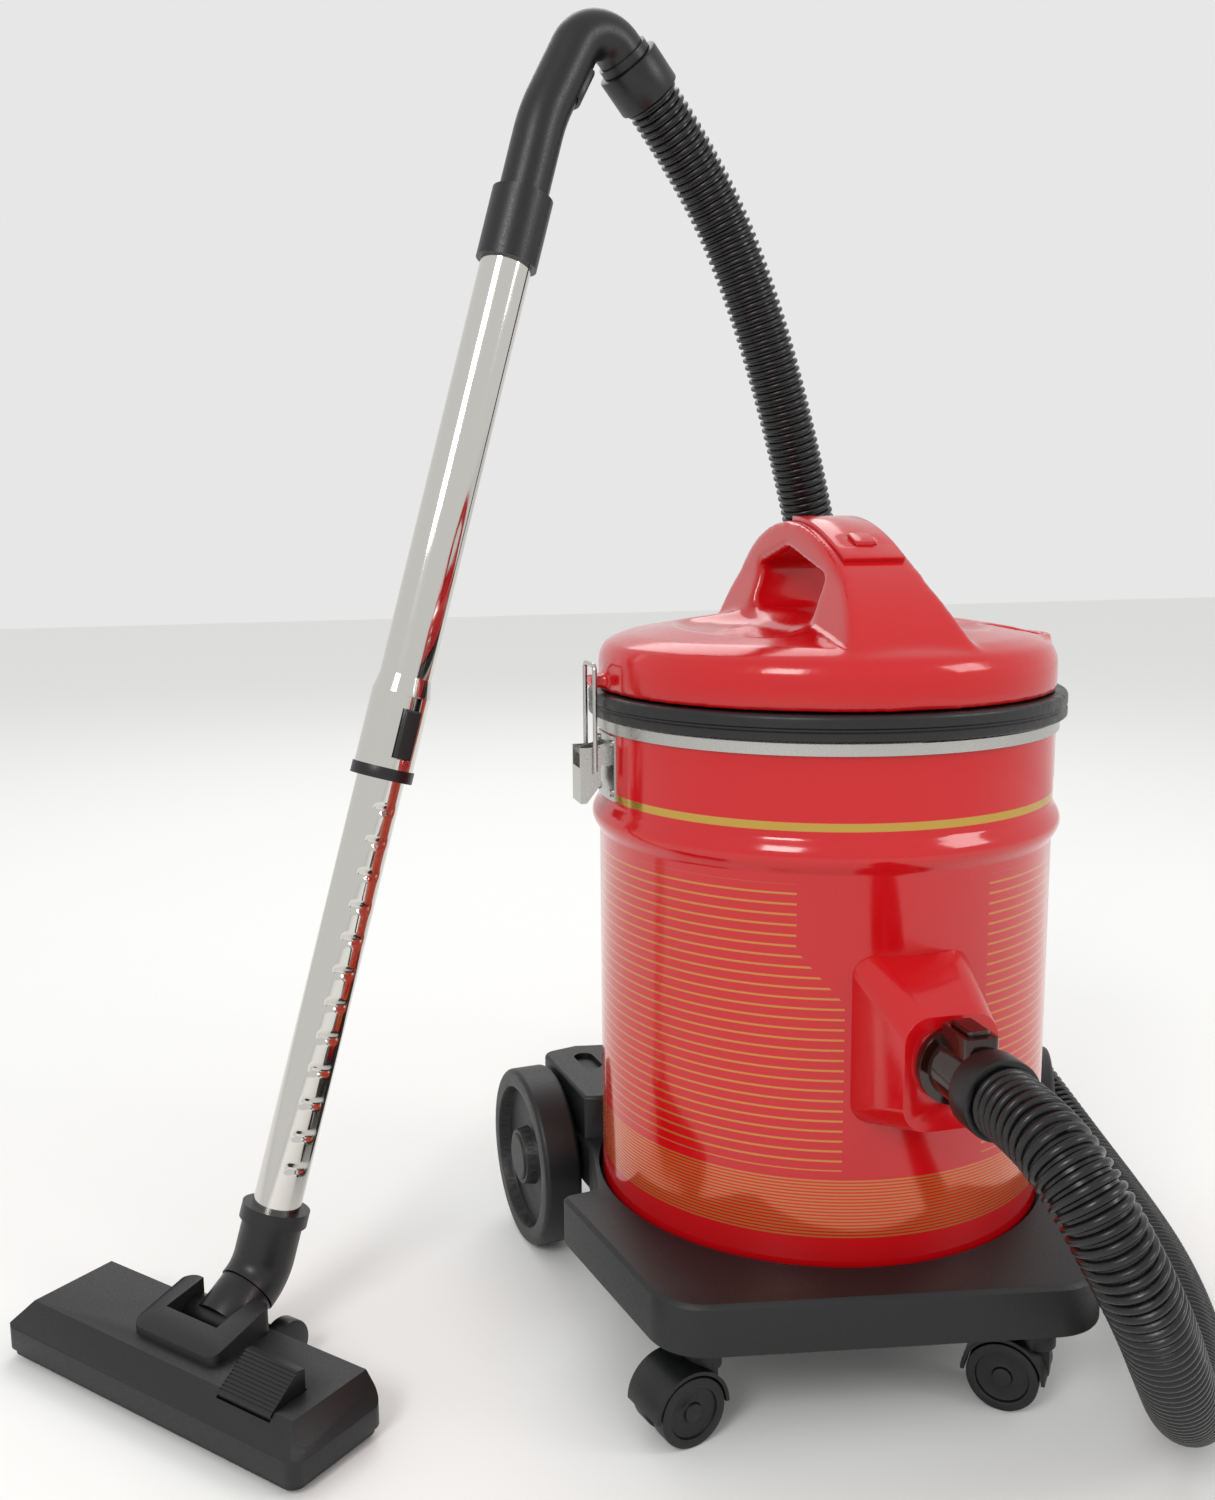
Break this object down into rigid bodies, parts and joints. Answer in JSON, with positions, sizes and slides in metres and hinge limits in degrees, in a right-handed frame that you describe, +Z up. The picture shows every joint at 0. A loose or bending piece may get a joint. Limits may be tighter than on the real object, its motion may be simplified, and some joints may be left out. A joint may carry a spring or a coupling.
{
  "type": "drum vacuum cleaner",
  "caption": "Drum vacuum cleaner with a wheeled trolley, lift-off motor head, corrugated hose, telescopic tube and swivelling floor head.",
  "frame": {"origin": "middle of the footprint on the floor, without the hose", "axes": "+Z up, -Y the way the drum's hose inlet faces, +X to the right seen from there"},
  "size_m": [0.8366, 0.5938, 0.8893],
  "materials": {
    "red_lid": "glossy moulded ABS",
    "red_enamel": "glossy baked enamel on sheet steel",
    "bright_steel": "bright steel",
    "chrome_tube": "chromed steel tube",
    "black_band": "black elastomer",
    "black_deck": "fine textured polypropylene",
    "black_fitting": "satin moulded ABS",
    "brown_fitting": "smoky brown translucent plastic",
    "hose_wall": "ribbed black polyethylene",
    "power_key": "moulded plastic",
    "motor_casing": "dark moulded plastic",
    "motor_metal": "pressed aluminium",
    "filter_cloth": "needled filter felt",
    "bristle": "nylon bristle strip"
  },
  "bodies": {
    "machine": {"trolley_deck": "black_deck", "wheel_axles": "bright_steel", "drum_shell": "red_enamel", "drum_rim_ring": "bright_steel", "inlet_box": "red_lid", "inlet_gasket": "black_band", "inlet_deflector": "motor_casing", "latch_bracket_left": "bright_steel", "latch_bracket_right": "bright_steel", "latch_rivets": "bright_steel", "inlet_connector": "brown_fitting", "hose": "hose_wall", "hose_cuff_drum": "black_fitting", "hose_cuff_handle": "black_fitting", "filter_ring": "motor_casing", "filter_bag": "filter_cloth"},
    "head": {"head_cover": "red_lid", "handle_pad": "red_lid", "rim_band": "black_band", "lower_tray": "motor_casing", "motor_housing": "motor_casing", "motor_can": "motor_metal", "fan_cover": "motor_casing", "motor_bearings": "bright_steel", "motor_gasket": "black_band", "exhaust_foam": "filter_cloth", "cord_gland": "black_band", "tray_screws": "bright_steel"},
    "power_button": {"power_button": "power_key"},
    "rotor": {"impeller": "motor_metal", "motor_shaft": "bright_steel"},
    "connector_button": {"connector_button": "brown_fitting"},
    "wand": {"handle_pipe": "black_fitting", "upper_tube": "chrome_tube", "tube_collar": "black_fitting"},
    "suction_slider": {"suction_slider": "black_fitting"},
    "lock_tab": {"lock_tab": "black_fitting"},
    "extension": {"lower_tube": "chrome_tube", "neck_socket": "black_fitting"},
    "neck_yoke": {"neck_yoke": "black_fitting"},
    "neck_wheels": {"neck_wheels": "black_fitting"},
    "floor_head": {"nozzle_cover": "black_fitting", "nozzle_sole": "black_fitting"},
    "nozzle_pedal": {"nozzle_pedal": "black_fitting"},
    "nozzle_brushes": {"nozzle_brushes": "bristle"},
    "rear_wheel_left": {"rear_wheel_left": "black_deck", "hub_cap_left": "black_deck"},
    "caster_left": {"caster_fork_left": "black_deck"},
    "caster_wheels_left": {"caster_wheels_left": "black_deck"},
    "latch_lever_left": {"latch_lever_left": "bright_steel"},
    "latch_bail_left": {"latch_bail_left": "bright_steel"},
    "rear_wheel_right": {"rear_wheel_right": "black_deck", "hub_cap_right": "black_deck"},
    "caster_right": {"caster_fork_right": "black_deck"},
    "caster_wheels_right": {"caster_wheels_right": "black_deck"},
    "latch_lever_right": {"latch_lever_right": "bright_steel"},
    "latch_bail_right": {"latch_bail_right": "bright_steel"}
  },
  "joints": [
    {"name": "head_lift", "type": "slide", "parent": "machine", "child": "head", "axis": [0, 0, 1], "range_m": [0, 0.12]},
    {"name": "rear_wheel_left_spin", "type": "hinge", "parent": "machine", "child": "rear_wheel_left", "pos_m": [-0.01175, 0.15715, 0.0656], "axis": [-0.9936, -0.1132, 0], "continuous": true},
    {"name": "caster_left_swivel", "type": "hinge", "parent": "machine", "child": "caster_left", "pos_m": [0.02191, -0.10269, 0.07], "axis": [0, 0, 1], "continuous": true},
    {"name": "caster_left_roll", "type": "hinge", "parent": "caster_left", "child": "caster_wheels_left", "pos_m": [0.00553, -0.10723, 0.022], "axis": [-0.2672, 0.9636, 0], "continuous": true},
    {"name": "latch_lever_left_turn", "type": "hinge", "parent": "machine", "child": "latch_lever_left", "pos_m": [-0.01576, 0.02809, 0.395], "axis": [0, 1, 0], "range_deg": [0, 151]},
    {"name": "latch_bail_left_turn", "type": "hinge", "parent": "latch_lever_left", "child": "latch_bail_left", "pos_m": [-0.01126, 0.02809, 0.384], "axis": [0, 1, 0], "range_deg": [-227, 0]},
    {"name": "rear_wheel_right_spin", "type": "hinge", "parent": "machine", "child": "rear_wheel_right", "pos_m": [0.34348, 0.0977, 0.0656], "axis": [0.9026, -0.4305, 0], "continuous": true},
    {"name": "caster_right_swivel", "type": "hinge", "parent": "machine", "child": "caster_right", "pos_m": [0.22706, -0.13702, 0.07], "axis": [0, 0, 1], "continuous": true},
    {"name": "caster_right_roll", "type": "hinge", "parent": "caster_right", "child": "caster_wheels_right", "pos_m": [0.21394, -0.1262, 0.022], "axis": [0.6361, 0.7716, 0], "continuous": true},
    {"name": "latch_lever_right_turn", "type": "hinge", "parent": "machine", "child": "latch_lever_right", "pos_m": [0.31424, 0.02809, 0.395], "axis": [0, -1, 0], "range_deg": [0, 151]},
    {"name": "latch_bail_right_turn", "type": "hinge", "parent": "latch_lever_right", "child": "latch_bail_right", "pos_m": [0.30974, 0.02809, 0.384], "axis": [0, -1, 0], "range_deg": [-227, 0]},
    {"name": "fan_spin", "type": "hinge", "parent": "head", "child": "rotor", "pos_m": [0.14924, 0.02809, 0.426], "axis": [0, 0, 1], "continuous": true},
    {"name": "power_button_press", "type": "slide", "parent": "head", "child": "power_button", "axis": [0, 0.4068, -0.9135], "range_m": [0, 0.002], "stiffness_N_per_m": 300, "springref_m": -0.001},
    {"name": "connector_button_press", "type": "slide", "parent": "machine", "child": "connector_button", "axis": [0, 0, -1], "range_m": [0, 0.0025], "stiffness_N_per_m": 300, "springref_m": -0.001},
    {"name": "wand_swivel", "type": "hinge", "parent": "machine", "child": "wand", "pos_m": [0.0545, 0.16873, 0.859], "axis": [0.666, 0.2623, -0.6983], "range_deg": [-20, 20]},
    {"name": "suction_slider_slide", "type": "slide", "parent": "wand", "child": "suction_slider", "axis": [0.4652, 0.1832, 0.866], "range_m": [0, 0.01]},
    {"name": "lock_tab_slide", "type": "slide", "parent": "wand", "child": "lock_tab", "axis": [0.279, 0.1099, 0.954], "range_m": [0, 0.008], "stiffness_N_per_m": 200, "springref_m": -0.002},
    {"name": "telescope", "type": "slide", "parent": "wand", "child": "extension", "axis": [0.279, 0.1099, 0.954], "range_m": [0, 0.25]},
    {"name": "neck_swivel", "type": "hinge", "parent": "extension", "child": "neck_yoke", "pos_m": [-0.23417, 0.05498, 0.0531], "axis": [0.6456, 0.5772, 0.5], "range_deg": [-60, 60]},
    {"name": "neck_wheels_roll", "type": "hinge", "parent": "neck_yoke", "child": "neck_wheels", "pos_m": [-0.24061, 0.04922, 0.016], "axis": [0.6665, -0.7455, 0], "continuous": true},
    {"name": "floor_head_tilt", "type": "hinge", "parent": "neck_yoke", "child": "floor_head", "pos_m": [-0.26, 0.03189, 0.0331], "axis": [0.6665, -0.7455, 0], "range_deg": [-60, 6]},
    {"name": "pedal_rock", "type": "hinge", "parent": "floor_head", "child": "nozzle_pedal", "pos_m": [-0.23665, -0.05724, 0.034], "axis": [-0.6665, 0.7455, 0], "range_deg": [0, 8]},
    {"name": "brush_lift", "type": "slide", "parent": "floor_head", "child": "nozzle_brushes", "axis": [0, 0, 1], "range_m": [0, 0.0041]}
  ],
  "couplings": [
    {"joint": "latch_lever_left_turn", "follows": "head_lift", "rad_per_m": 21.8},
    {"joint": "latch_bail_left_turn", "follows": "head_lift", "rad_per_m": -32.7},
    {"joint": "latch_lever_right_turn", "follows": "head_lift", "rad_per_m": 21.8},
    {"joint": "latch_bail_right_turn", "follows": "head_lift", "rad_per_m": -32.7},
    {"joint": "brush_lift", "follows": "pedal_rock", "m_per_rad": 0.02865}
  ]
}
